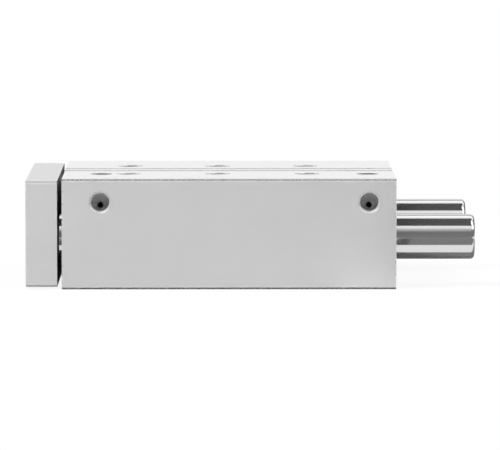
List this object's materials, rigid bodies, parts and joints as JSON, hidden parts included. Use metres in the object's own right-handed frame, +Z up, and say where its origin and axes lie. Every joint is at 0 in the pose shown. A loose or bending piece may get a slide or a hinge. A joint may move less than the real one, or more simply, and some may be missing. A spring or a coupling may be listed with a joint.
{
  "type": "guided pneumatic cylinder",
  "caption": "Compact pneumatic cylinder in an anodised block housing, driving a yoke plate carried on polished guide rods, with side air ports, sensor slots and counterbored mounting holes.",
  "frame": {"origin": "middle of the mounting hole pattern, on the underside of the housing", "axes": "+X along the stroke from the yoke plate to the rear, +Y from the port side to the far side, +Z up from the underside to the slotted face"},
  "size_m": [0.199, 0.11, 0.049],
  "materials": {
    "housing_anodised": "natural anodised extrusion",
    "yoke_anodised": "natural anodised, milled",
    "cap_aluminium": "turned",
    "piston_aluminium": "turned",
    "ground_rod_steel": "hard chromed, ground and polished",
    "plug_steel": "zinc plated",
    "screw_steel": "black oxide",
    "circlip_steel": "phosphated spring steel",
    "bush_bronze": "plain bearing bronze",
    "seal_rubber": "moulded",
    "cushion_polyurethane": "moulded",
    "band_plastic": "machined",
    "magnet_ferrite": "plastic bonded ferrite"
  },
  "bodies": {
    "housing": {"housing": "housing_anodised", "front_bearing_cap": "cap_aluminium", "rear_end_cap": "cap_aluminium", "front_port_plug": "plug_steel", "rear_port_plug": "plug_steel", "front_cap_circlip": "circlip_steel", "rear_cap_circlip": "circlip_steel", "near_front_guide_bush": "bush_bronze", "near_rear_guide_bush": "bush_bronze", "far_front_guide_bush": "bush_bronze", "far_rear_guide_bush": "bush_bronze", "piston_rod_bush": "bush_bronze", "front_cap_o_ring": "seal_rubber", "rear_cap_o_ring": "seal_rubber", "piston_rod_seal": "seal_rubber", "port_plug_seals": "seal_rubber", "near_guide_wiper": "seal_rubber", "far_guide_wiper": "seal_rubber", "front_cushion_ring": "cushion_polyurethane", "rear_cushion_ring": "cushion_polyurethane"},
    "yoke": {"yoke_plate": "yoke_anodised", "near_guide_rod": "ground_rod_steel", "far_guide_rod": "ground_rod_steel", "guide_rod_screws": "screw_steel", "piston_rod": "ground_rod_steel", "piston_rod_screw": "screw_steel", "piston_front_half": "piston_aluminium", "piston_rear_half": "piston_aluminium", "piston_magnet": "magnet_ferrite", "piston_guide_band": "band_plastic", "piston_front_seal": "seal_rubber", "piston_rear_seal": "seal_rubber", "piston_o_ring": "seal_rubber", "piston_screw": "screw_steel"}
  },
  "joints": [
    {"name": "yoke_slide", "type": "slide", "parent": "housing", "child": "yoke", "axis": [-1, 0, 0], "range_m": [0, 0.1]}
  ]
}
